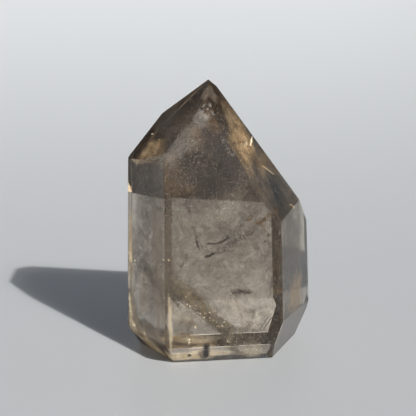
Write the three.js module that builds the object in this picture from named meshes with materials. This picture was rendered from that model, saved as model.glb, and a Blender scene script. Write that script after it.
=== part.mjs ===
// Smoky quartz tower: one crystal, a six-sided prism cut and polished to stand on its own flat base.
// Units are millimetres, +Z is up, the broad front face looks along -Y.
// The origin is on the resting plane, under the middle of the crystal's bounding box.
import * as THREE from 'three';

// A facet is set the way a faceting head sets it, by three numbers:
//   turn  compass angle of its outward direction, degrees from +X towards +Y
//   lean  how far that direction rises above level, degrees (negative looks down)
//   out   distance of its plane from the foot of the axis, measured along that direction, mm

// prism faces: about 60 degrees apart, each leaning in a little towards the tip
const FRONT = { turn: -90.0, lean: 1.6, out: 17.1 };
const LEFT_FRONT = { turn: -152.1, lean: 1.2, out: 21.8 };
const RIGHT_FRONT = { turn: -29.5, lean: 2.6, out: 21.0 };
const RIGHT_BACK = { turn: 29.3, lean: 2.6, out: 21.75 };
const BACK = { turn: 89.4, lean: 1.0, out: 17.0 };
const LEFT_BACK = { turn: 146.3, lean: 1.1, out: 19.7 };

// termination: five faces closing to the tip, the right one much steeper than the others,
// so that the right shoulder sits far lower than the left one; the front face runs up between them
const TIP_LEFT_FRONT = { turn: -158.3, lean: 37.4, out: 47.37 };
const TIP_RIGHT_FRONT = { turn: -33.5, lean: 28.3, out: 34.7 };
const TIP_RIGHT_BACK = { turn: 27.5, lean: 34.6, out: 34.82 };
const TIP_BACK = { turn: 86.5, lean: 35.0, out: 34.08 };
const TIP_LEFT_BACK = { turn: 149.1, lean: 33.7, out: 43.85 };

// the very point is blunted by one small flat on its right side
const TIP_FLAT = { turn: 3.0, lean: 49.8, out: 50.85 };

// chamfers round the foot: low in front and at the left, tallest at the right
const FOOT_FRONT = { turn: -89.9, lean: -27.4, out: 12.88 };
const FOOT_LEFT_FRONT = { turn: -148.8, lean: -29.1, out: 16.35 };
const FOOT_RIGHT_FRONT = { turn: -31.1, lean: -16.2, out: 16.93 };
const FOOT_RIGHT_BACK = { turn: 29.4, lean: -31.8, out: 14.75 };
const FOOT_BACK = { turn: 89.7, lean: -28.8, out: 10.64 };
const FOOT_LEFT_BACK = { turn: 150.1, lean: -32.4, out: 14.35 };

// the ground flat it stands on
const BASE = { turn: 0.0, lean: -90.0, out: 0.0 };

// rough block the facets are cut from
const BLANK_HALF_WIDTH = 60.0;
const BLANK_TOP = 110.0;
const BLANK_BOTTOM = -10.0;

// corners closer together than this are the same corner
const WELD = 1e-4;

const SMOKE_BROWN = 0x8c7a63;

const FACETS = [
  FRONT,
  LEFT_FRONT,
  RIGHT_FRONT,
  RIGHT_BACK,
  BACK,
  LEFT_BACK,
  TIP_LEFT_FRONT,
  TIP_RIGHT_FRONT,
  TIP_RIGHT_BACK,
  TIP_BACK,
  TIP_LEFT_BACK,
  TIP_FLAT,
  FOOT_FRONT,
  FOOT_LEFT_FRONT,
  FOOT_RIGHT_FRONT,
  FOOT_RIGHT_BACK,
  FOOT_BACK,
  FOOT_LEFT_BACK,
  BASE,
];

// outward unit vector of a facet
function outward(facet) {
  const turn = THREE.MathUtils.degToRad(facet.turn);
  const lean = THREE.MathUtils.degToRad(facet.lean);
  return new THREE.Vector3(
    Math.cos(turn) * Math.cos(lean),
    Math.sin(turn) * Math.cos(lean),
    Math.sin(lean),
  );
}

// the blank as six outward-facing loops of corners
function blankLoops() {
  const w = BLANK_HALF_WIDTH;
  const corner = (sx, sy, z) => new THREE.Vector3(sx * w, sy * w, z);
  const top = BLANK_TOP;
  const bottom = BLANK_BOTTOM;
  return [
    [corner(-1, -1, bottom), corner(-1, 1, bottom), corner(1, 1, bottom), corner(1, -1, bottom)],
    [corner(-1, -1, top), corner(1, -1, top), corner(1, 1, top), corner(-1, 1, top)],
    [corner(-1, -1, bottom), corner(1, -1, bottom), corner(1, -1, top), corner(-1, -1, top)],
    [corner(1, -1, bottom), corner(1, 1, bottom), corner(1, 1, top), corner(1, -1, top)],
    [corner(1, 1, bottom), corner(-1, 1, bottom), corner(-1, 1, top), corner(1, 1, top)],
    [corner(-1, 1, bottom), corner(-1, -1, bottom), corner(-1, -1, top), corner(-1, 1, top)],
  ];
}

// keep the part of a loop that lies behind the plane, and note the corners made on the plane
function trimLoop(loop, normal, out, onPlane) {
  const kept = [];
  for (let i = 0; i < loop.length; i += 1) {
    const a = loop[i];
    const b = loop[(i + 1) % loop.length];
    const ha = normal.dot(a) - out;
    const hb = normal.dot(b) - out;
    if (ha <= 0) {
      kept.push(a);
    }
    if (ha * hb < 0) {
      const cut = a.clone().lerp(b, ha / (ha - hb));
      kept.push(cut);
      onPlane.push(cut);
    }
  }
  return kept;
}

// loop of the new facet: its corners taken in order round their middle, seen from outside
function facetLoop(corners, normal) {
  const distinct = [];
  for (const c of corners) {
    if (!distinct.some((d) => d.distanceTo(c) < WELD)) {
      distinct.push(c);
    }
  }
  const middle = new THREE.Vector3();
  distinct.forEach((c) => middle.addScaledVector(c, 1 / distinct.length));
  const across = distinct[0].clone().sub(middle).normalize();
  const along = new THREE.Vector3().crossVectors(normal, across);
  const bearing = (c) => {
    const arm = c.clone().sub(middle);
    return Math.atan2(arm.dot(along), arm.dot(across));
  };
  return distinct.sort((a, b) => bearing(a) - bearing(b));
}

// cut one facet across the whole stone
function cutFacet(loops, facet) {
  const normal = outward(facet);
  const onPlane = [];
  const trimmed = loops
    .map((loop) => trimLoop(loop, normal, facet.out, onPlane))
    .filter((loop) => loop.length > 2);
  trimmed.push(facetLoop(onPlane, normal));
  return trimmed;
}

// closed mesh of flat facets; every facet is fanned from its first corner
function stoneGeometry(loops) {
  const corners = [];
  const index = [];
  const cornerNumber = (c) => {
    const found = corners.findIndex((d) => d.distanceTo(c) < WELD);
    if (found >= 0) {
      return found;
    }
    corners.push(c);
    return corners.length - 1;
  };
  for (const loop of loops) {
    const ring = loop.map(cornerNumber).filter((n, i, all) => n !== all[(i + 1) % all.length]);
    for (let i = 1; i < ring.length - 1; i += 1) {
      index.push(ring[0], ring[i], ring[i + 1]);
    }
  }
  const geometry = new THREE.BufferGeometry();
  const places = corners.flatMap((c) => [c.x, c.y, c.z]);
  geometry.setAttribute('position', new THREE.Float32BufferAttribute(places, 3));
  geometry.setIndex(index);
  geometry.computeBoundingBox();
  const middle = geometry.boundingBox.getCenter(new THREE.Vector3());
  geometry.translate(-middle.x, -middle.y, -geometry.boundingBox.min.z);
  geometry.computeVertexNormals();
  return geometry;
}

const stone = new THREE.Mesh(
  stoneGeometry(FACETS.reduce(cutFacet, blankLoops())),
  new THREE.MeshStandardMaterial({
    name: 'smoky_quartz',
    color: SMOKE_BROWN,
    roughness: 0.05,
    metalness: 0.0,
    transparent: true,
    opacity: 0.55,
    flatShading: true,
  }),
);
stone.name = 'crystal';

const tower = new THREE.Group();
tower.name = 'smoky_quartz_tower';
tower.add(stone);

export default tower;
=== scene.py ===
import math

import bmesh
import bpy
import numpy as np
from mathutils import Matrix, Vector


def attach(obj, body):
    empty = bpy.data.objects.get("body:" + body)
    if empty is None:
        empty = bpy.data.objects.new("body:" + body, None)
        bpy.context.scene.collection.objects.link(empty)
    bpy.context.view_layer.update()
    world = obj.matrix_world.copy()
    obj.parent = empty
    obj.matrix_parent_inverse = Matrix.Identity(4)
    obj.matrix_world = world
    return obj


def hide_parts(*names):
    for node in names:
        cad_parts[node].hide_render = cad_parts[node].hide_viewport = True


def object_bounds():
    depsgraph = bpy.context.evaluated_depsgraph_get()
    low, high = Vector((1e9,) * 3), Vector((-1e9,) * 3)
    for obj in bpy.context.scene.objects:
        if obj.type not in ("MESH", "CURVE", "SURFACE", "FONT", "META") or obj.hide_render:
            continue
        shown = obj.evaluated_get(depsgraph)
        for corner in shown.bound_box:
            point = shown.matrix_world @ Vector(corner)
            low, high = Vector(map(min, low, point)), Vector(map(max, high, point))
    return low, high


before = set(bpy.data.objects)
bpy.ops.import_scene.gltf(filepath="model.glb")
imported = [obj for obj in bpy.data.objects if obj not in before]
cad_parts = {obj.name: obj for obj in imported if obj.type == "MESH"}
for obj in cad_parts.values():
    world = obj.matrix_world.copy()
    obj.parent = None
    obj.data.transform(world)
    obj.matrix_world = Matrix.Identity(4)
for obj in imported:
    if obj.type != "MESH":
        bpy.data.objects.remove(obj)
cad_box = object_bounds()

# ---------------------------------------------------------------------------------------
# The stone: one smoky quartz crystal, cut to a six-sided tower and polished on every face.
# The facets meet in crisp edges that the polishing wheel has only just broken.
# ---------------------------------------------------------------------------------------
MM = 0.001
EDGE_BREAK = 0.12 * MM
SAME_FACET = math.radians(0.2)
CRISP_EDGE = math.radians(8)
QUARTZ_IOR = 1.544
POLISHED_SKIN = (1.0, 0.985, 0.955, 1.0)
SMOKY_BROWN = (0.7375, 0.6375, 0.50, 1.0)
SMOKE_DENSITY = 40.0
CLEAR_SKIN = (0.9, 0.9, 0.9, 1.0)

cut = bmesh.new()
cut.from_mesh(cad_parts["crystal"].data)
bmesh.ops.remove_doubles(cut, verts=cut.verts, dist=1e-6)
bmesh.ops.dissolve_limit(cut, angle_limit=SAME_FACET, verts=cut.verts, edges=cut.edges)
stone_mesh = bpy.data.meshes.new("quartz")
cut.to_mesh(stone_mesh)
cut.free()
quartz = bpy.data.objects.new("quartz", stone_mesh)
bpy.context.scene.collection.objects.link(quartz)
broken_edge = quartz.modifiers.new("broken_edge", "BEVEL")
broken_edge.width = EDGE_BREAK
broken_edge.segments = 2
broken_edge.limit_method = "ANGLE"
broken_edge.angle_limit = CRISP_EDGE

smoky_quartz = bpy.data.materials.new("smoky_quartz")
smoky_quartz.use_nodes = True
nodes = smoky_quartz.node_tree.nodes
links = smoky_quartz.node_tree.links
polish = nodes["Principled BSDF"]
polish.inputs["Base Color"].default_value = POLISHED_SKIN
polish.inputs["Roughness"].default_value = 0.0
polish.inputs["IOR"].default_value = QUARTZ_IOR
polish.inputs["Transmission Weight"].default_value = 1.0
smoke = nodes.new("ShaderNodeVolumeAbsorption")
smoke.inputs["Color"].default_value = SMOKY_BROWN
smoke.inputs["Density"].default_value = SMOKE_DENSITY
links.new(smoke.outputs["Volume"], nodes["Material Output"].inputs["Volume"])

# The lamps reach what lies inside: on the way from an inner mark to a lamp the skin is clear
# but for a tenth. On the way into the stone it is quartz and stops them, so it casts a shadow.
inner_side = nodes.new("ShaderNodeNewGeometry")
clear = nodes.new("ShaderNodeBsdfTransparent")
clear.inputs["Color"].default_value = CLEAR_SKIN
outward_lamp = nodes.new("ShaderNodeMixShader")
lamp_or_eye = nodes.new("ShaderNodeMixShader")
ray = nodes.new("ShaderNodeLightPath")
links.new(inner_side.outputs["Backfacing"], outward_lamp.inputs[0])
links.new(polish.outputs["BSDF"], outward_lamp.inputs[1])
links.new(clear.outputs["BSDF"], outward_lamp.inputs[2])
links.new(ray.outputs["Is Shadow Ray"], lamp_or_eye.inputs[0])
links.new(polish.outputs["BSDF"], lamp_or_eye.inputs[1])
links.new(outward_lamp.outputs["Shader"], lamp_or_eye.inputs[2])
links.new(lamp_or_eye.outputs["Shader"], nodes["Material Output"].inputs["Surface"])
stone_mesh.materials.clear()
stone_mesh.materials.append(smoky_quartz)

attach(quartz, "root")
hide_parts("crystal")

# ---------------------------------------------------------------------------------------
# Wisps and dust: short curled threads and specks of fluid and mineral that the crystal grew
# round. Pale threads keep to the front, dark ones and specks lie all through the stone.
# ---------------------------------------------------------------------------------------
SEED = 41
GRAIN_DEPTH = 0.1 * MM
START_DEPTH = 0.6 * MM
THICK_SPOTS = 120
SPOT_SPREAD = 0.05
FOOT_TOP = 20.8 * MM
FOOT_FADE = 16 * MM
FOOT_LOSS = 0.55
DUST_SPECKS = 30000

chance = np.random.default_rng(SEED)
facet_normals = np.array([tuple(p.normal) for p in stone_mesh.polygons])
facet_points = np.array([tuple(p.center) for p in stone_mesh.polygons])
facet_reach = (facet_normals * facet_points).sum(axis=1)


def within(points, margin):
    """True for each point that lies behind every facet plane by at least margin."""
    return (points @ facet_normals.T - facet_reach < -margin).all(axis=-1)


def unit(v):
    """Each vector divided by its own length."""
    return v / np.linalg.norm(v, axis=-1, keepdims=True)


def frames_along(direction):
    """Three unit axes: the given direction, a random one square to it, and their cross product."""
    ahead = unit(direction)
    side = unit(np.cross(ahead, chance.normal(size=ahead.shape)))
    return np.stack([ahead, side, np.cross(ahead, side)], axis=-2)


def add_piece(name, corners, faces, material):
    """A mesh piece of the stone, in the stone's own place."""
    mesh = bpy.data.meshes.new(name)
    mesh.from_pydata(corners.reshape(-1, 3).tolist(), [], faces)
    mesh.materials.append(material)
    piece = bpy.data.objects.new(name, mesh)
    bpy.context.scene.collection.objects.link(piece)
    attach(piece, "root")
    return mesh


def grains(name, centres, axes, material):
    """Closed grains: six corners at the centre plus and minus three half axes, with eight faces.

    A grain that would come out of the stone, or close under a facet, is left out.
    """
    inside = within(centres, GRAIN_DEPTH + np.abs(axes).max())
    centres, axes = centres[inside], axes[inside]
    corners = np.concatenate([centres[:, None] + axes, centres[:, None] - axes], axis=1)
    shape = np.array(
        [(0, 1, 2), (1, 3, 2), (3, 4, 2), (4, 0, 2), (1, 0, 5), (3, 1, 5), (4, 3, 5), (0, 4, 5)]
    )
    faces = shape[None] + 6 * np.arange(len(centres))[:, None, None]
    add_piece(name, corners, faces.reshape(-1, 3).tolist(), material)


# Two tones that drift into each other from place to place.
two_tone = bpy.data.node_groups.new("two_tone", "ShaderNodeTree")
two_tone.interface.new_socket("Scale", in_out="INPUT", socket_type="NodeSocketFloat")
two_tone.interface.new_socket("Dark", in_out="INPUT", socket_type="NodeSocketColor")
two_tone.interface.new_socket("Light", in_out="INPUT", socket_type="NodeSocketColor")
two_tone.interface.new_socket("Color", in_out="OUTPUT", socket_type="NodeSocketColor")
given = two_tone.nodes.new("NodeGroupInput")
place = two_tone.nodes.new("ShaderNodeTexCoord")
drift = two_tone.nodes.new("ShaderNodeTexNoise")
spread = two_tone.nodes.new("ShaderNodeMapRange")
spread.inputs["From Min"].default_value = 0.3
spread.inputs["From Max"].default_value = 0.7
tone = two_tone.nodes.new("ShaderNodeMix")
tone.data_type = "RGBA"
result = two_tone.nodes.new("NodeGroupOutput")
two_tone.links.new(place.outputs["Object"], drift.inputs["Vector"])
two_tone.links.new(given.outputs["Scale"], drift.inputs["Scale"])
two_tone.links.new(drift.outputs["Fac"], spread.inputs["Value"])
two_tone.links.new(spread.outputs["Result"], tone.inputs["Factor"])
two_tone.links.new(given.outputs["Dark"], tone.inputs["A"])
two_tone.links.new(given.outputs["Light"], tone.inputs["B"])
two_tone.links.new(tone.outputs["Result"], result.inputs["Color"])


def mineral(name, dark, light, roughness, scale=900.0, glow=0.0):
    """A mineral's finish: its dark and light tone, how rough it is, how closely the tones follow
    each other, and how strongly it glows by itself, which paints a glint."""
    material = bpy.data.materials.new(name)
    material.use_nodes = True
    tree = material.node_tree
    body = tree.nodes["Principled BSDF"]
    tones = tree.nodes.new("ShaderNodeGroup")
    tones.node_tree = two_tone
    tones.inputs["Scale"].default_value = scale
    tones.inputs["Dark"].default_value = (*dark, 1.0)
    tones.inputs["Light"].default_value = (*light, 1.0)
    tree.links.new(tones.outputs["Color"], body.inputs["Base Color"])
    body.inputs["Roughness"].default_value = roughness
    if glow:
        body.inputs["Emission Color"].default_value = (*light, 1.0)
        body.inputs["Emission Strength"].default_value = glow
    return material


def wisps(name, box, count, steps, step, thin, turn, material):
    """Random walks: each wisp starts in the box and goes on by steps whose heading drifts.

    Two starts in three lie anywhere and one lies near a thicker spot. A share is left out, which
    grows from nothing at the top of the foot to the full foot loss at the end of its fade. Each
    step is one grain, a little longer than the step, so that the grains join into a thread.
    """
    low, high = np.array(box[0]), np.array(box[1])
    spots = chance.uniform(low, high, size=(THICK_SPOTS, 3))
    near = spots[chance.integers(0, THICK_SPOTS, count)]
    near = near + chance.normal(size=(count, 3)) * SPOT_SPREAD * (high - low)
    start = np.concatenate([chance.uniform(low, high, size=(2 * count, 3)), near])
    left_out = FOOT_LOSS * np.clip((FOOT_TOP - start[:, 2]) / FOOT_FADE, 0, 1)
    start = start[chance.random(len(start)) > left_out]
    start = start[within(start, START_DEPTH)]
    start = start[chance.permutation(len(start))][:count]
    drift = np.cumsum(chance.normal(size=(len(start), steps, 3)) * turn, axis=1)
    ways = unit(unit(chance.normal(size=(len(start), 1, 3))) + drift)
    centres = (start[:, None] + np.cumsum(ways * step, axis=1)).reshape(-1, 3)
    size = chance.uniform(0.6, 1.4, size=(len(centres), 3)) * (0.65 * step, thin, thin)
    grains(name, centres, frames_along(ways.reshape(-1, 3)) * size[..., None], material)


pale = mineral("pale_thread", (0.30, 0.28, 0.265), (0.78, 0.755, 0.73), 0.75)
dark = mineral("dark_thread", (0.04, 0.034, 0.03), (0.20, 0.17, 0.155), 0.95)
front_box = (cad_box[0], (cad_box[1][0], -5 * MM, cad_box[1][2]))
tip_box = MM * np.array([(-12, -14.5, 44), (10, -8.5, 60.5)])
foot_box = MM * np.array([(-4, -15, 0.8), (11, -6, 13)])
wisps("pale_wisps", front_box, 1500, 5, 0.24 * MM, 0.024 * MM, 0.45, pale)
wisps("pale_curls", tip_box, 330, 6, 0.15 * MM, 0.04 * MM, 0.9, pale)
wisps("foot_curls", foot_box, 260, 5, 0.15 * MM, 0.04 * MM, 0.8, pale)
wisps("dark_wisps", cad_box, 2400, 5, 0.26 * MM, 0.03 * MM, 0.45, dark)

specks = chance.uniform(cad_box[0], cad_box[1], size=(DUST_SPECKS, 3))
speck_size = chance.uniform(0.02 * MM, 0.05 * MM, size=(DUST_SPECKS, 1, 1))
grains("dust", specks, frames_along(chance.normal(size=specks.shape)) * speck_size, dark)

# ---------------------------------------------------------------------------------------
# Hazes: thin warped sheets of the finest dust. Some are healed cracks and growth layers; others
# are partly or wholly painted shade and light, in place of shadow, reflections and sunlight seen
# through the stone. Each is thickest in clouds, fades out towards its rim and ends where it
# meets a facet.
# ---------------------------------------------------------------------------------------
SHEET_THICKNESS = 0.03 * MM
FACET_GAP = 0.15 * MM
FACET_FADE = 0.6 * MM
RINGS = 20
SPOKES = 48
OUTLINE_TURN = 9000
WAVE_HEIGHT = 0.5 * MM
LONG_WAVE = (210, 90, 360)
CROSS_WAVE = (-330, 150, 170)


def sheet(centre, along, across, wave, strength):
    """Corners of one sheet and the map that its finish reads: the sheet's strength at each corner.

    An oval of rings round the centre with the two given half axes in mm. Two sine waves bulge
    its outline, each sheet's in its own way, and two more bend its face. A corner that would
    stick out of the stone is drawn back towards the centre, to the gap under the facet. The
    strength falls to nothing over the outer half of the oval, and over the facet fade just
    before that gap. The upper layer comes first, then the lower one.
    """
    centre, along, across = MM * np.array([centre, along, across])
    up = unit(np.cross(along, across))
    ring = np.repeat(np.arange(1, RINGS + 1) / RINGS, SPOKES)
    angle = np.tile(np.arange(SPOKES) * 2 * np.pi / SPOKES, RINGS)
    ring, angle = np.append(0.0, ring), np.append(0.0, angle)
    turn = OUTLINE_TURN * centre.sum()
    bulge = 1 + 0.20 * np.sin(2 * angle + turn) + 0.14 * np.sin(5 * angle + 2 * turn)
    flat = (bulge * ring * np.cos(angle))[:, None] * along
    flat = flat + (bulge * ring * np.sin(angle))[:, None] * across
    lift = WAVE_HEIGHT * wave * (np.sin(flat @ LONG_WAVE + 1.0) + np.sin(flat @ CROSS_WAVE))
    arm = flat + lift[:, None] * up
    room = facet_reach - FACET_GAP - facet_normals @ centre
    reach = arm @ facet_normals.T
    share = np.where(reach > 1e-9, room / np.maximum(reach, 1e-9), 1.0).min(axis=1)
    middle = centre + arm * np.clip(share, 0, 1)[:, None]
    depth = (facet_reach - middle @ facet_normals.T).min(axis=1)
    fade = np.clip((1 - ring) * 2, 0, 1) * np.clip((depth - FACET_GAP) / FACET_FADE, 0, 1)
    half = 0.5 * SHEET_THICKNESS * up
    corners = np.concatenate([middle + half, middle - half])
    return corners, np.stack([np.tile(strength * fade, 2), np.zeros(2 * len(fade))], axis=1)


def sheet_faces():
    """Faces of one closed sheet: a fan and rings of quads on each side, and quads round the rim.

    A side's middle is its corner 0, and ring k starts at corner 1 plus k times the spokes.
    """
    spoke = np.arange(SPOKES)
    after = (spoke + 1) % SPOKES
    lower = RINGS * SPOKES + 1
    fan = np.stack([0 * spoke, 1 + spoke, 1 + after], axis=1)
    inner = 1 + SPOKES * np.arange(RINGS - 1)[:, None]
    outer = inner + SPOKES
    bands = np.stack([inner + spoke, outer + spoke, outer + after, inner + after], axis=-1)
    bands = bands.reshape(-1, 4)
    rim_above = 1 + SPOKES * (RINGS - 1)
    rim_below = rim_above + lower
    rim = [rim_above + spoke, rim_below + spoke, rim_below + after, rim_above + after]
    faces = fan.tolist() + bands.tolist()
    faces += (lower + fan[:, ::-1]).tolist() + (lower + bands[:, ::-1]).tolist()
    return faces + np.stack(rim, axis=1).tolist()


# Clouds of dust: thick and thin patches, times the sheet's strength.
cloud = bpy.data.node_groups.new("cloud", "ShaderNodeTree")
cloud.interface.new_socket("Thinnest", in_out="INPUT", socket_type="NodeSocketFloat")
cloud.interface.new_socket("Alpha", in_out="OUTPUT", socket_type="NodeSocketFloat")
given = cloud.nodes.new("NodeGroupInput")
place = cloud.nodes.new("ShaderNodeTexCoord")
patches = cloud.nodes.new("ShaderNodeTexNoise")
patches.inputs["Scale"].default_value = 300.0
patches.inputs["Detail"].default_value = 6.0
patches.inputs["Roughness"].default_value = 0.62
patches.inputs["Distortion"].default_value = 0.9
thick = cloud.nodes.new("ShaderNodeMapRange")
thick.inputs["From Min"].default_value = 0.36
thick.inputs["From Max"].default_value = 0.66
split = cloud.nodes.new("ShaderNodeSeparateXYZ")
full = cloud.nodes.new("ShaderNodeMath")
full.operation = "MULTIPLY"
result = cloud.nodes.new("NodeGroupOutput")
cloud.links.new(place.outputs["Object"], patches.inputs["Vector"])
cloud.links.new(patches.outputs["Fac"], thick.inputs["Value"])
cloud.links.new(given.outputs["Thinnest"], thick.inputs["To Min"])
cloud.links.new(place.outputs["UV"], split.inputs["Vector"])
cloud.links.new(thick.outputs["Result"], full.inputs[0])
cloud.links.new(split.outputs["X"], full.inputs[1])
cloud.links.new(full.outputs["Value"], result.inputs["Alpha"])


def hazes(name, material, thinnest, *sheets):
    """One piece of all the sheets that share a mineral, see-through where its clouds are thin.

    Thinnest is how much of a sheet's strength is left between its clouds. Each sheet is given
    by its centre and two half axes in mm, its wave and its strength.
    """
    tree = material.node_tree
    dust = tree.nodes.new("ShaderNodeGroup")
    dust.node_tree = cloud
    dust.inputs["Thinnest"].default_value = thinnest
    tree.links.new(dust.outputs["Alpha"], tree.nodes["Principled BSDF"].inputs["Alpha"])
    corners, maps = zip(*(sheet(*s) for s in sheets))
    one = sheet_faces()
    faces = [[c + k * len(corners[0]) for c in f] for k in range(len(sheets)) for f in one]
    mesh = add_piece(name, np.concatenate(corners), faces, material)
    at_corner = np.empty(len(mesh.loops), dtype=np.int32)
    mesh.loops.foreach_get("vertex_index", at_corner)
    layer = mesh.uv_layers.new(name="strength")
    layer.uv.foreach_set("vector", np.concatenate(maps)[at_corner].ravel())


hazes(
    "grey_haze",
    mineral("grey_dust", (0.20, 0.175, 0.155), (0.46, 0.42, 0.38), 0.7, 400.0),
    0.0,
    # through the whole stone, from front to back
    ((0, -2, 33), (17, 3, 2), (-1, 3, 25), 1.2, 0.26),
    ((-4, 2, 26), (17, -4, 2), (2, 4, 23), 1.5, 0.26),
    ((3, 7, 37), (17, 3, -2), (2, 6, 22), 1.5, 0.24),
    ((-2, 10, 27), (17, 4, 0), (0, -3, 22), 1.5, 0.22),
    ((-4, -6, 50), (12, -4, 2), (2, 5, 12), 1.0, 0.10),
    # under the left front face
    ((-17.0, -3.6, 22), (6.5, -5.6, 0), (0, 3, 22), 0.6, 0.40),
    # in the foot
    ((4.5, -5.0, 8.5), (9, 2, 0), (0, 2, 7), 0.5, 0.50),
    ((0, -8.0, 2.7), (13, 1, 0), (0, 0.3, 3.0), 0.2, 0.14),
    ((4, -1.0, 1.2), (9, 1, 0), (0, 9, 0), 0.1, 0.5),
)
# Smoky zones, partly painted shade: these dark sheets also stand in for the shadow and the dim room
# seen through the stone.
hazes(
    "smoke",
    mineral("smoke_dust_and_shade", (0.07, 0.06, 0.05), (0.18, 0.155, 0.13), 0.6, 400.0),
    0.15,
    # under the left front face
    ((-16.7, -6.8, 31), (4.2, -8.0, 0), (0, 1, 15), 0.5, 0.20),
    # under the right front face
    ((16.4, -7.0, 24), (4.6, 9.0, 0), (-1, 0, 28), 0.5, 0.56),
    ((14.4, -4.0, 22), (4.6, 9.0, 0), (-1, 0, 25), 0.5, 0.46),
    ((16.0, -9.0, 34.6), (1.3, 2.4, 0), (0, 0.3, 2.9), 0.1, 0.85),
    ((15.5, -6.5, 5.0), (4.6, 8.2, -0.6), (0.6, 0, 7), 0.4, 0.70),
    # under the right and the left tip face
    ((11.4, -7.8, 42.6), (3.6, 5.1, -0.3), (-2.8, 2.4, 6.8), 0.3, 0.8),
    ((-13.0, -3.4, 59.0), (3.4, -2.7, 2.0), (1.7, 1.7, 2.4), 0.3, 0.7),
    # behind the front face, where it narrows to the point
    ((-1.5, -8.0, 51.5), (14, 1, 1), (0, 2.3, 9.8), 0.5, 0.44),
    ((1.5, -5.0, 51.5), (12, 1, -2), (2, 2.2, 8.6), 0.5, 0.42),
    ((-1.0, 5.0, 46.5), (12, 1, 0), (0, 2.5, 7.5), 0.6, 0.5),
    # in the foot
    ((-15.5, -12.6, 2.9), (1.7, -3.1, 0), (0, 0.5, 2.0), 0.1, 0.75),
    ((4.8, -9.0, 2.6), (4.2, 0.6, 0), (0, 0.3, 2.8), 0.2, 0.3),
    ((10.0, -9.5, 3.0), (3.0, 1.0, 0), (0, 0.3, 3.2), 0.2, 0.2),
)
hazes(
    "painted_shade_patch",
    mineral("painted_shade_dust", (0.02, 0.024, 0.03), (0.08, 0.085, 0.09), 0.6, 900.0),
    0.35,
    # painted shade, low in the left front face and at the foot of the right tip face
    ((-17.4, -5.8, 6.7), (1.9, -3.2, 0.1), (0.1, 0.5, 2.3), 0.2, 0.8),
    ((12.6, -8.2, 40.8), (2.2, 3.1, -0.2), (-1.9, 1.6, 4.4), 0.2, 0.7),
)
hazes(
    "violet_haze",
    mineral("violet_dust", (0.035, 0.026, 0.028), (0.13, 0.105, 0.10), 0.6, 1400.0),
    0.1,
    # in the narrowing front face: down its right edge, and across below
    ((-1.2, -14.3, 54.2), (4.6, 0, -7.6), (-2.9, 0, -1.8), 0.1, 0.75),
    ((-4.0, -13.0, 47.5), (9, 0, -1), (0.5, 0.3, 4.5), 0.3, 0.42),
)
hazes(
    "pale_haze",
    mineral("pale_dust", (0.42, 0.39, 0.37), (0.72, 0.69, 0.66), 0.6, 700.0),
    0.3,
    # behind the front face, at the height of the right shoulder
    ((-0.5, -6.0, 38.0), (13, 1, 0), (0, 1, 5.0), 0.4, 0.20),
    # in the narrowing front face: up its left edge, and near the point
    ((-10.4, -13.2, 55.8), (5.6, 0.2, 6.6), (2.8, -0.3, -2.4), 0.4, 0.15),
    ((-5.6, -12.0, 61.3), (1.5, 0, -1.9), (1.2, 0, 1.0), 0.1, 0.4),
)
# Brown dust and painted shade: these sheets darken the stone where it shows shade.
hazes(
    "brown_haze_and_shade",
    mineral("brown_dust_and_shade", (0.18, 0.145, 0.115), (0.30, 0.245, 0.195), 0.6, 600.0),
    0.5,
    # behind the edge between the front and the left front face
    ((-15.3, -11.2, 22.5), (3.0, 0, 0), (0, 0.4, 20.5), 0.2, 0.55),
    ((-16.6, -9.0, 5.6), (4.0, -1.0, 0), (0, 0.6, 3.8), 0.2, 0.6),
    # in the point
    ((-3.9, -9.0, 66.4), (2.2, 0, -0.3), (0, 0.2, 2.2), 0.0, 0.7),
)
# Amber dust and painted reflection: these sheets stand in for the golden light that the stone
# reflects from the lit floor, most of all in the tip faces.
hazes(
    "amber_haze_and_reflection",
    mineral("amber_dust", (0.38, 0.26, 0.13), (0.76, 0.57, 0.35), 0.5, 500.0),
    0.2,
    # under the right tip face
    ((3.2, -10.4, 56.0), (3.4, 4.9, -0.3), (-3.2, 2.8, 7.8), 0.1, 0.50),
    ((5.1, -8.9, 54.4), (1.8, 2.6, -0.2), (-1.4, 1.2, 3.5), 0.1, 0.65),
    ((8.8, -8.8, 48.8), (2.6, 3.7, -0.3), (-1.0, 0.9, 2.5), 0.1, 0.16),
    # under the left tip face
    ((-17.6, -5.0, 52.2), (5.4, -3.4, 1.1), (0.8, 1.8, 3.3), 0.3, 0.70),
    # low in the right front face
    ((17.3, -6.3, 12.6), (3.6, 6.8, 0), (0, 0.4, 6.0), 0.2, 0.36),
    # along the underside of the veil
    ((-6.5, -9.0, 10.0), (6, 0, -3), (1, 0.5, 4), 0.4, 0.20),
)
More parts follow.
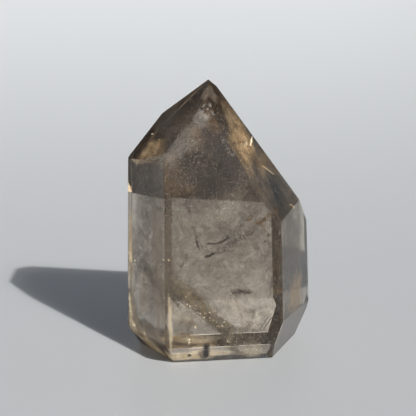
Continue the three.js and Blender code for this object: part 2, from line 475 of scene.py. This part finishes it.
# Painted light: pale sheets in place of sunlight led through the stone onto its base and feet, and of
# the sun's glint along the left rim.
hazes(
    "painted_light_dust",
    mineral("pale_dust_painted_light", (0.80, 0.66, 0.45), (1.0, 0.92, 0.74), 0.5, 500.0),
    0.6,
    # over the base, and over the left foot chamfer
    ((-9.0, -1.0, 1.3), (8.0, 0.5, 0), (0, 11, 0), 0.1, 1.0),
    ((-17.4, -4.4, 3.4), (5.0, -5.6, -2.6), (0.5, 1.4, 3.4), 0.1, 1.0),
    # a strip just under the front face, beside its left edge
    ((-14.1, -15.5, 11.0), (0, -0.1, 7.5), (0.8, 0, 0), 0.0, 0.5),
    # up the left rim
    ((-22.2, -1.2, 9.5), (1.2, -1.6, 0.3), (-0.2, 0.2, 7.0), 0.0, 1.0),
    ((-21.8, -1.6, 6.0), (2.2, -0.7, 0), (0.6, 0.3, 4.6), 0.0, 1.0),
    ((-22.4, -0.6, 26.0), (1.5, 0, 0), (0, 0, 14), 0.0, 0.7),
    # behind the front foot chamfer, and low in the left front face
    ((-7.6, -12.5, 2.0), (8.4, 0.2, 0), (0, 0.3, 2.2), 0.1, 0.62),
    ((-18.4, -6.0, 16.0), (3.6, -1.4, 0), (0, 0.5, 6.5), 0.3, 0.22),
    ((-18.8, -7.4, 5.8), (3.2, -1.2, 0), (0, 0.4, 3.0), 0.2, 0.25),
    # above the front foot chamfer and behind its right half
    ((-7.0, -14.0, 6.3), (6.5, 0, -0.6), (0, 0.2, 1.3), 0.1, 0.18),
    ((6.6, -12.5, 2.2), (4.2, 0.2, 0), (0, 0.3, 1.9), 0.1, 0.20),
)
hazes(
    "veil_haze",
    mineral("olive_dust", (0.085, 0.066, 0.04), (0.27, 0.22, 0.14), 0.6, 700.0),
    0.4,
    # along the veil, behind the front face and under the left front face
    ((-6.4, -10.6, 13.8), (10.4, 0, -9.2), (1.6, 0.7, 1.85), 0.15, 1.0),
    ((-15.4, -6.6, 20.4), (3.9, -7.1, -2.8), (0.6, 1.2, 1.6), 0.2, 0.6),
    # below it
    ((-10.5, -9.5, 8.0), (3.8, 0, -1), (0.5, 0.5, 4.6), 0.2, 0.35),
)

# ---------------------------------------------------------------------------------------
# Veil: an old crack that healed in growth. It runs from high on the left down to the foot
# at the right, a slightly warped sheet of olive specks.
# ---------------------------------------------------------------------------------------
VEIL_MIDDLE = np.array([-0.0061, 0.0, 0.0121])
VEIL_DOWN = np.array([0.712, 0.0, -0.702])
VEIL_BACK = np.array([0.0, 1.0, 0.0])
VEIL_UP = np.array([0.702, 0.0, 0.712])
VEIL_ENDS = (-0.020, 0.018)
VEIL_SIDES = (-0.017, 0.017)
VEIL_SCATTER = 0.6 * MM
VEIL_SPECKS = 7000

# Places spread evenly over the veil's plane, lifted off it by two sine waves and a scatter.
along = chance.uniform(*VEIL_ENDS, size=(VEIL_SPECKS, 1))
across = chance.uniform(*VEIL_SIDES, size=(VEIL_SPECKS, 1))
lift = 0.5 * MM * np.sin(along * 330) + 0.6 * MM * np.sin(across * 190 + 0.6)
lift += chance.normal(size=(VEIL_SPECKS, 1)) * VEIL_SCATTER
on_veil = VEIL_MIDDLE + along * VEIL_DOWN + across * VEIL_BACK + lift * VEIL_UP
veil_size = chance.uniform(0.04 * MM, 0.10 * MM, size=(VEIL_SPECKS, 1, 1))
olive = mineral("veil_speck", (0.10, 0.085, 0.055), (0.36, 0.31, 0.22), 0.4)
grains("veil", on_veil, frames_along(chance.normal(size=on_veil.shape)) * veil_size, olive)

# ---------------------------------------------------------------------------------------
# Single marks: cracks, feathers, stains, pale patches and sprinkles of golden flecks, each a
# swarm of grains strewn along a short path inside the stone. Some golden flecks are painted
# glints that glow by themselves.
# ---------------------------------------------------------------------------------------


def strewn(path, count, spread, length, thin, jumble):
    """Grains along a path of points in mm.

    Their places are spread evenly along the path, plus a normal scatter of the given spread.
    Their long axes point along the path, plus the given share of a random direction. Spread,
    length and thickness are in mm, and each grain's own size varies by up to half either way.
    """
    points = np.array(path) * MM
    legs = np.diff(points, axis=0)
    leg_ends = np.cumsum(np.linalg.norm(legs, axis=1))
    at = chance.uniform(0, leg_ends[-1], size=count)
    leg = np.searchsorted(leg_ends, at)
    back = leg_ends[leg] - at
    centres = points[leg + 1] - unit(legs)[leg] * back[:, None]
    centres = centres + chance.normal(size=(count, 3)) * spread * MM
    ways = unit(legs)[leg] + jumble * chance.normal(size=(count, 3))
    half = chance.uniform(0.5, 1.5, size=(count, 3)) * (length, thin, thin) * 0.5 * MM
    return centres, frames_along(ways) * half[..., None]


def swarm(name, material, *marks):
    """One piece of all the marks that share a mineral.

    Each mark is given by its path, its count of grains, their spread, length and thickness,
    and how jumbled they lie.
    """
    centres, axes = zip(*(strewn(*mark) for mark in marks))
    grains(name, np.concatenate(centres), np.concatenate(axes), material)


swarm(
    "cracks",
    mineral("crack_film", (0.02, 0.015, 0.012), (0.10, 0.08, 0.07), 0.4),
    # the two hooked cracks in the middle of the front face
    ([(-4.6, -8.4, 30.0), (-2.9, -8.4, 29.7), (-0.9, -8.4, 30.1)], 110, 0.12, 0.45, 0.14, 0.7),
    ([(-0.9, -8.4, 30.1), (0.9, -8.4, 31.2)], 70, 0.12, 0.45, 0.14, 0.7),
    ([(0.4, -8.4, 31.3), (0.9, -8.4, 31.6)], 26, 0.16, 0.35, 0.15, 0.9),
    ([(-4.8, -8.5, 26.3), (-2.9, -8.5, 27.2)], 120, 0.14, 0.5, 0.18, 0.5),
    ([(-2.9, -8.5, 27.2), (-1.4, -8.5, 27.4), (0.4, -8.5, 27.9)], 70, 0.16, 0.4, 0.13, 0.8),
    # the forked crack to their left
    ([(-7.9, -9.3, 34.6), (-7.3, -9.3, 32.4), (-7.1, -9.4, 30.9)], 70, 0.16, 0.4, 0.10, 0.7),
    ([(-7.1, -9.4, 30.9), (-6.8, -9.4, 29.4), (-6.3, -9.4, 28.6)], 70, 0.16, 0.4, 0.13, 0.7),
    ([(-6.3, -9.4, 30.8), (-5.9, -9.4, 29.4), (-5.2, -9.4, 28.4)], 34, 0.16, 0.4, 0.09, 0.8),
    ([(-5.2, -9.4, 28.4), (-4.6, -9.4, 28.2)], 8, 0.16, 0.4, 0.09, 0.8),
    # the feather that rises to their right
    ([(-0.3, -10.4, 28.9), (2.7, -10.4, 30.8), (6.2, -10.3, 32.7)], 260, 0.48, 0.5, 0.10, 0.7),
    ([(6.2, -10.3, 32.7), (9.1, -10.2, 35.2)], 120, 0.48, 0.5, 0.10, 0.7),
    # fine cracks at the left of the front face, and two flecks at its right
    ([(-9.6, -11.0, 41.0), (-9.3, -11.0, 39.5), (-8.7, -11.1, 38.5)], 80, 0.30, 0.5, 0.09, 0.7),
    ([(-11.4, -10.6, 23.6), (-10.9, -10.6, 24.5), (-9.8, -10.5, 26.2)], 55, 0.20, 0.45, 0.08, 0.6),
    ([(-9.8, -10.5, 26.2), (-9.4, -10.5, 27.6)], 25, 0.20, 0.45, 0.08, 0.6),
    ([(10.3, -12.3, 32.2), (10.6, -12.3, 32.5)], 30, 0.12, 0.35, 0.14, 0.8),
    ([(9.4, -12.3, 30.7), (9.7, -12.3, 30.8)], 20, 0.10, 0.3, 0.12, 0.8),
    # the dark tuft low in the front face
    ([(1.6, -10.7, 17.4), (3.6, -10.7, 17.2)], 140, 0.5, 0.45, 0.12, 0.9),
    ([(3.2, -10.7, 17.9), (4.3, -10.7, 17.3), (6.2, -10.7, 17.4)], 180, 0.36, 0.45, 0.13, 0.9),
    # two straight hairs at its lower right corner
    ([(9.4, -11.1, 6.9), (11.7, -11.0, 10.3)], 60, 0.06, 0.7, 0.08, 0.15),
    ([(8.8, -11.1, 7.4), (11.1, -11.0, 10.8)], 40, 0.06, 0.7, 0.06, 0.15),
    # the dark bead in the front foot chamfer, the crumbs of the left dark patch, and a fleck
    ([(-5.2, -14.3, 4.4), (-5.0, -13.6, 3.0), (-4.9, -12.8, 1.6)], 620, 0.33, 0.5, 0.17, 0.4),
    ([(-18.6, -4.6, 7.9), (-17.4, -6.0, 5.6)], 170, 0.60, 0.45, 0.10, 0.9),
    ([(-9.3, -13.0, 2.2), (-8.9, -12.6, 1.8)], 60, 0.16, 0.4, 0.14, 0.9),
    # the crack that runs down across the left front face and on into the front face
    ([(-19.4, -2.0, 21.6), (-17.4, -2.2, 21.2), (-15.6, -5.6, 19.7)], 110, 0.17, 0.6, 0.09, 0.4),
    ([(-15.6, -5.6, 19.7), (-13.4, -9.8, 18.5)], 90, 0.17, 0.6, 0.09, 0.4),
    ([(-13.7, -10.8, 17.0), (-11.8, -10.9, 14.5), (-11.2, -10.9, 13.6)], 110, 0.16, 0.5, 0.10, 0.5),
    # flecks in the left front face and in the right tip face
    ([(-18.3, -5.6, 22.4), (-17.2, -4.9, 21.7)], 80, 0.24, 0.5, 0.12, 0.6),
    ([(-17.9, -6.1, 37.4), (-17.2, -7.1, 34.9)], 70, 0.28, 0.45, 0.10, 0.7),
    ([(3.4, -8.6, 55.7), (3.8, -8.4, 55.4)], 16, 0.10, 0.3, 0.14, 0.9),
    ([(4.6, -6.3, 56.4), (4.8, -6.3, 55.8)], 18, 0.12, 0.3, 0.14, 0.9),
    # the dark grains along the veil
    ([(-13.5, -11.0, 17.0), (-7.5, -11.0, 12.4), (1.0, -11.0, 6.6)], 560, 0.75, 0.40, 0.09, 0.8),
)
swarm(
    "stain",
    mineral("iron_stain", (0.08, 0.04, 0.012), (0.40, 0.24, 0.09), 0.5),
    # the rust at the upper end of the feather
    ([(5.3, -11.2, 36.0), (6.7, -11.2, 37.2)], 90, 0.32, 0.35, 0.13, 0.9),
    ([(7.0, -11.2, 35.2), (9.0, -11.2, 35.6), (11.0, -11.2, 37.6)], 210, 0.34, 0.45, 0.13, 0.8),
    ([(9.0, -11.2, 35.6), (9.3, -11.2, 33.6)], 60, 0.30, 0.45, 0.10, 0.8),
)
swarm(
    "pale_patches",
    mineral("pale_grain", (0.45, 0.43, 0.40), (0.90, 0.88, 0.85), 0.6),
    # in the narrowing front face: up its left edge, near the point, and down its right edge
    ([(-14.4, -13.5, 51.3), (-6.2, -13.4, 61.2)], 2600, 0.75, 0.07, 0.06, 0.9),
    ([(-6.6, -11.8, 60.1), (-4.8, -12.4, 62.4)], 460, 0.42, 0.2, 0.10, 0.9),
    ([(-5.0, -12.2, 63.8), (-4.3, -12.2, 64.5)], 40, 0.25, 0.25, 0.12, 0.9),
    ([(-1.2, -14.9, 57.2), (-0.3, -14.9, 55.5), (1.2, -14.9, 53.0)], 260, 0.40, 0.30, 0.11, 0.9),
    # the pale hair down its middle
    ([(-2.4, -11.7, 53.8), (-2.4, -12.0, 41.5)], 70, 0.05, 0.4, 0.035, 0.2),
    # specks in the front face, then scratches in the left front and right tip faces and the foot
    ([(-11.6, -14.5, 31.8), (-9.6, -14.5, 29.5)], 30, 0.9, 0.16, 0.12, 0.9),
    ([(-19.4, -5.4, 49.5), (-19.4, -5.4, 40.0)], 170, 1.5, 0.9, 0.04, 0.25),
    ([(10.2, -8.2, 44.6), (12.6, -8.2, 40.2)], 46, 0.8, 0.7, 0.05, 0.3),
    ([(2.0, -10.0, 6.0), (9.0, -10.0, 4.0)], 70, 0.8, 0.5, 0.05, 0.8),
)
# Golden flecks, partly painted light: along the left rim and down the right side they stand in for
# the sun's glint inside the stone.
swarm(
    "gold_film_and_glint",
    mineral("gold_film_and_glint", (0.50, 0.38, 0.22), (0.90, 0.76, 0.52), 0.4),
    # down the left rim and round its foot
    ([(-22.5, -0.7, 37.3), (-22.9, -0.6, 19.9), (-23.0, -0.7, 14.5)], 120, 0.22, 0.3, 0.07, 0.5),
    ([(-23.0, -0.7, 14.5), (-22.6, -0.9, 9.0), (-22.0, -1.4, 5.6)], 200, 0.40, 0.3, 0.07, 0.7),
    ([(-21.5, -2.3, 5.4), (-20.5, -3.6, 4.0), (-19.2, -3.6, 2.0)], 120, 0.42, 0.3, 0.08, 0.8),
    ([(-19.2, -3.6, 2.0), (-17.6, -4.8, 1.1)], 60, 0.42, 0.3, 0.08, 0.8),
    # streaks down the right side: in the tip face, at the shoulder and low in the face
    ([(9.0, -8.6, 48.4), (12.4, -6.9, 45.9)], 120, 0.10, 0.5, 0.12, 0.3),
    ([(16.4, -8.4, 38.4), (17.6, -6.6, 37.0)], 60, 0.14, 0.4, 0.12, 0.5),
    ([(18.8, -6.6, 20.5), (18.0, -8.6, 16.4)], 50, 0.10, 0.5, 0.10, 0.3),
    # in the front face, above its middle and behind the foot chamfer
    ([(-9.6, -10.9, 44.3), (-8.0, -10.9, 44.6)], 160, 0.6, 0.2, 0.05, 0.9),
    ([(-13.0, -12.0, 3.2), (7.0, -12.0, 2.6)], 70, 0.9, 0.22, 0.07, 0.9),
)
# Painted glints: flecks that glow by themselves, in place of the sun flashing inside the stone.
swarm(
    "painted_glints",
    mineral("glint", (1.0, 0.82, 0.50), (1.0, 0.93, 0.75), 0.3, glow=0.7),
    # down the left rim and round its foot
    ([(-22.5, -0.8, 25.2), (-22.3, -1.2, 22.8)], 34, 0.3, 0.34, 0.19, 0.9),
    ([(-22.9, -0.7, 21.0), (-23.1, -0.6, 15.0)], 36, 0.2, 0.35, 0.13, 0.9),
    ([(-23.1, -0.7, 13.5), (-22.3, -1.2, 6.6), (-21.4, -2.3, 5.2)], 130, 0.26, 0.4, 0.14, 0.6),
    ([(-21.4, -2.3, 5.2), (-19.4, -3.4, 2.2)], 40, 0.26, 0.35, 0.12, 0.8),
    # a few under the left front face and its right edge, more in its foot chamfer
    ([(-20.6, -1.6, 23.0), (-20.4, -1.4, 23.1)], 3, 0.1, 0.35, 0.3, 0.9),
    ([(-14.2, -13.4, 27.3), (-14.0, -13.4, 26.9)], 4, 0.2, 0.28, 0.14, 0.9),
    ([(-17.8, -2.1, 12.3), (-17.5, -2.6, 8.6)], 9, 0.3, 0.3, 0.2, 0.9),
    ([(-17.6, -4.6, 4.8), (-17.9, -3.9, 1.7), (-17.2, -5.2, 1.4)], 40, 0.16, 0.38, 0.2, 0.9),
    # on the veil, and between it and the front foot chamfer
    ([(-14.4, -14.5, 17.6), (-14.2, -14.5, 17.0)], 4, 0.2, 0.3, 0.16, 0.9),
    ([(-9.2, -11.1, 6.0), (-9.2, -11.2, 4.0)], 20, 0.16, 0.32, 0.18, 0.7),
    ([(-10.4, -11.6, 17.0), (-8.3, -11.6, 14.0), (-4.5, -11.6, 11.4)], 16, 0.7, 0.36, 0.22, 0.9),
    ([(-4.5, -11.6, 11.4), (0.6, -11.6, 8.6)], 10, 0.7, 0.34, 0.20, 0.9),
    ([(-7.6, -9.1, 8.4), (-7.3, -9.1, 8.0)], 5, 0.2, 0.4, 0.26, 0.9),
    ([(1.2, -10.4, 5.3), (0.5, -11.6, 3.7)], 12, 0.3, 0.3, 0.16, 0.9),
    ([(-14.0, -12.5, 7.0), (-4.0, -12.5, 4.8)], 6, 0.8, 0.3, 0.2, 0.9),
    # the bright streak in the right tip face, and a fleck in the left one
    ([(7.0, -5.9, 55.0), (5.9, -8.0, 53.3)], 80, 0.10, 0.4, 0.16, 0.3),
    ([(5.1, -8.6, 54.8), (4.3, -9.7, 53.4)], 150, 0.40, 0.22, 0.09, 0.7),
    ([(-16.8, -1.9, 55.7), (-16.4, -2.1, 55.4)], 6, 0.15, 0.35, 0.24, 0.9),
)

# ---------------------------------------------------------------------------------------
# The studio: a pale floor that runs out to the background, a sun from the front right with a
# warm halo round it, a dim room with one soft glow low behind the stone, and the camera.
# ---------------------------------------------------------------------------------------
PAPER_WHITE = (0.69, 0.715, 0.745, 1.0)
PAPER_ROUGHNESS = 0.3
FLOOR_GAP = 0.2 * MM
ROOM_DIM = (0.094, 0.105, 0.121, 1.0)
ROOM_GLOW = (2.2, 2.26, 2.3, 1.0)
YAW = math.radians(6.533)
PITCH = math.radians(16.46)
CAMERA_PLACE = (-0.0323, -0.2566, 0.1120)
CAMERA_LENS = 91.29

floor_mesh = bpy.data.meshes.new("floor")
floor_mesh.from_pydata([(-4, -4, 0), (4, -4, 0), (4, 6, 0), (-4, 6, 0)], [], [(0, 1, 2, 3)])
floor = bpy.data.objects.new("floor", floor_mesh)
floor.location = (0, 0, -FLOOR_GAP)
bpy.context.scene.collection.objects.link(floor)
paper = bpy.data.materials.new("paper")
paper.use_nodes = True
paper_skin = paper.node_tree.nodes["Principled BSDF"]
paper_skin.inputs["Base Color"].default_value = PAPER_WHITE
paper_skin.inputs["Roughness"].default_value = PAPER_ROUGHNESS
floor_mesh.materials.append(paper)

toward_sun = Vector((0.444, -0.632, 0.635)).normalized()


def sunlight(name, width, energy, color):
    """A far lamp in the sun's direction: how many degrees wide it looks, its strength, its colour."""
    lamp = bpy.data.lights.new(name, "SUN")
    lamp.angle = math.radians(width)
    lamp.energy = energy
    lamp.color = color
    holder = bpy.data.objects.new(name, lamp)
    holder.rotation_mode = "QUATERNION"
    holder.rotation_quaternion = toward_sun.to_track_quat("Z", "Y")
    bpy.context.scene.collection.objects.link(holder)


sunlight("key", 1.2, 2.42, (1.0, 0.99, 0.97))
sunlight("halo", 8.0, 0.85, (1.0, 0.93, 0.80))

# The room's tone turns from dim to glow where the direction points back and lies low.
world = bpy.data.worlds.new("studio")
bpy.context.scene.world = world
world.use_nodes = True
world_nodes = world.node_tree.nodes
world_links = world.node_tree.links
around = world_nodes.new("ShaderNodeTexCoord")
direction = world_nodes.new("ShaderNodeSeparateXYZ")
world_links.new(around.outputs["Generated"], direction.inputs["Vector"])
behind = world_nodes.new("ShaderNodeMapRange")
behind.inputs["From Min"].default_value = 0.8
behind.inputs["From Max"].default_value = 0.98
behind.interpolation_type = "SMOOTHSTEP"
world_links.new(direction.outputs["Y"], behind.inputs["Value"])
low = world_nodes.new("ShaderNodeMapRange")
low.inputs["From Min"].default_value = 0.30
low.inputs["From Max"].default_value = 0.07
low.interpolation_type = "SMOOTHSTEP"
world_links.new(direction.outputs["Z"], low.inputs["Value"])
glow = world_nodes.new("ShaderNodeMath")
glow.operation = "MULTIPLY"
world_links.new(behind.outputs["Result"], glow.inputs[0])
world_links.new(low.outputs["Result"], glow.inputs[1])
room = world_nodes.new("ShaderNodeMix")
room.data_type = "RGBA"
room.inputs["A"].default_value = ROOM_DIM
room.inputs["B"].default_value = ROOM_GLOW
world_links.new(glow.outputs["Value"], room.inputs["Factor"])
world_links.new(room.outputs["Result"], world_nodes["Background"].inputs["Color"])
world_nodes["Background"].inputs["Strength"].default_value = 1.0

level = math.cos(PITCH)
ahead = Vector((math.sin(YAW) * level, math.cos(YAW) * level, -math.sin(PITCH)))
camera_data = bpy.data.cameras.new("camera")
camera_data.lens = CAMERA_LENS
camera_data.sensor_width = 36.0
camera_data.clip_start = 0.01
camera_data.clip_end = 50.0
camera = bpy.data.objects.new("camera", camera_data)
camera.location = CAMERA_PLACE
camera.rotation_mode = "QUATERNION"
camera.rotation_quaternion = (-ahead).to_track_quat("Z", "Y")
bpy.context.scene.collection.objects.link(camera)
bpy.context.scene.camera = camera

# Clear stone: many bounces through it, no softened gloss, and a clamp against stray bright dots.
bpy.context.scene.view_settings.view_transform = "Standard"
cycles = bpy.context.scene.cycles
cycles.use_denoising = True
cycles.blur_glossy = 0.0
cycles.sample_clamp_indirect = 8.0
cycles.transparent_max_bounces = 64
cycles.max_bounces = 24
cycles.transmission_bounces = 24
cycles.glossy_bounces = 12
